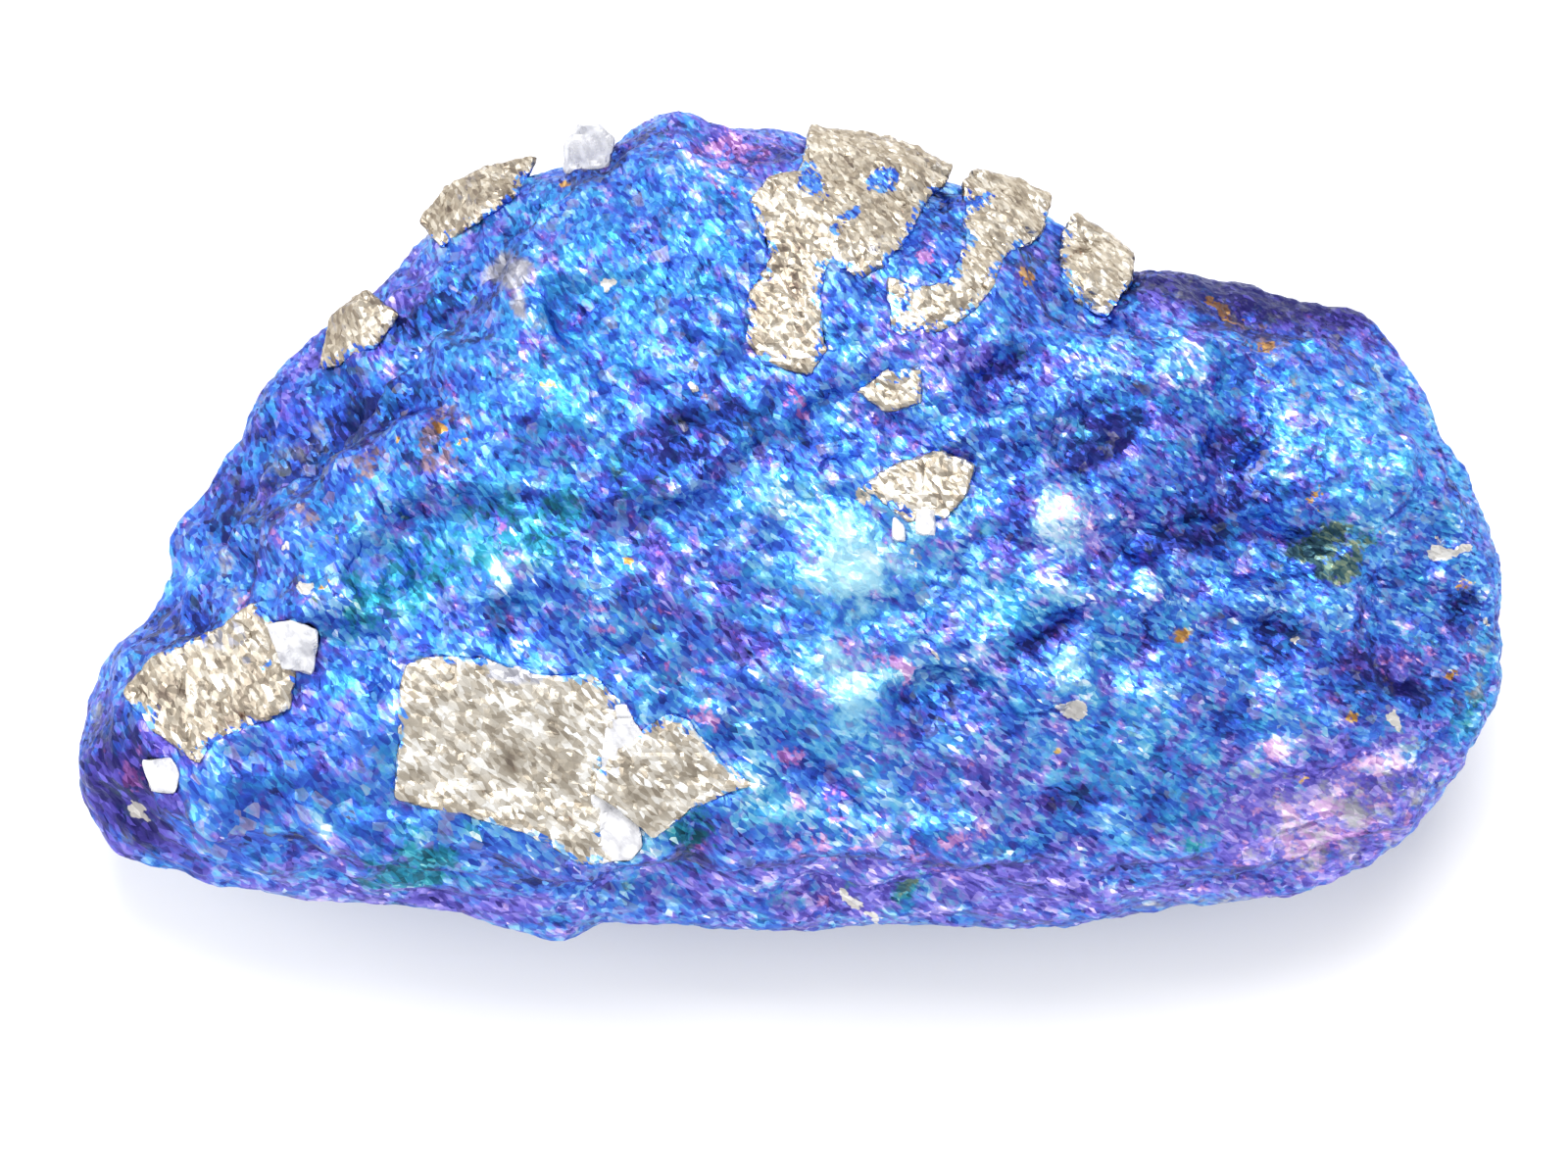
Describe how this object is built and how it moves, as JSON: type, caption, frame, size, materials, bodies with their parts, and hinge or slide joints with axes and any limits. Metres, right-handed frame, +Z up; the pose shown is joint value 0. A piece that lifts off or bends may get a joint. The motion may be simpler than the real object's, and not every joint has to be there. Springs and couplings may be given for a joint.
{
  "type": "peacock ore specimen",
  "caption": "Broken lump of iridescent tarnished copper ore with pyrite crystals and white quartz grains in its face, lying on a flat side.",
  "frame": {"origin": "under the middle of the lump, on the surface it rests on", "axes": "+X along the lump towards its blunt end, +Y across it, +Z up out of the face that shows"},
  "size_m": [0.03, 0.0176, 0.0108],
  "materials": {
    "tarnished_ore": "iridescent blue and violet metallic tarnish on a rough broken surface",
    "pyrite": "pale brassy metallic, granular and sparkling",
    "quartz": "milky white, slightly translucent"
  },
  "bodies": {
    "root": {"ore_body": "tarnished_ore", "pyrite_corner": "pyrite", "pyrite_block": "pyrite", "pyrite_wedge": "pyrite", "pyrite_band": "pyrite", "pyrite_hook": "pyrite", "pyrite_chip": "pyrite", "pyrite_centre": "pyrite", "pyrite_speck": "pyrite", "pyrite_rim_low": "pyrite", "pyrite_rim_high": "pyrite", "quartz_upper": "quartz", "quartz_lower": "quartz", "quartz_left": "quartz", "quartz_tip": "quartz", "quartz_rim": "quartz"}
  },
  "joints": []
}
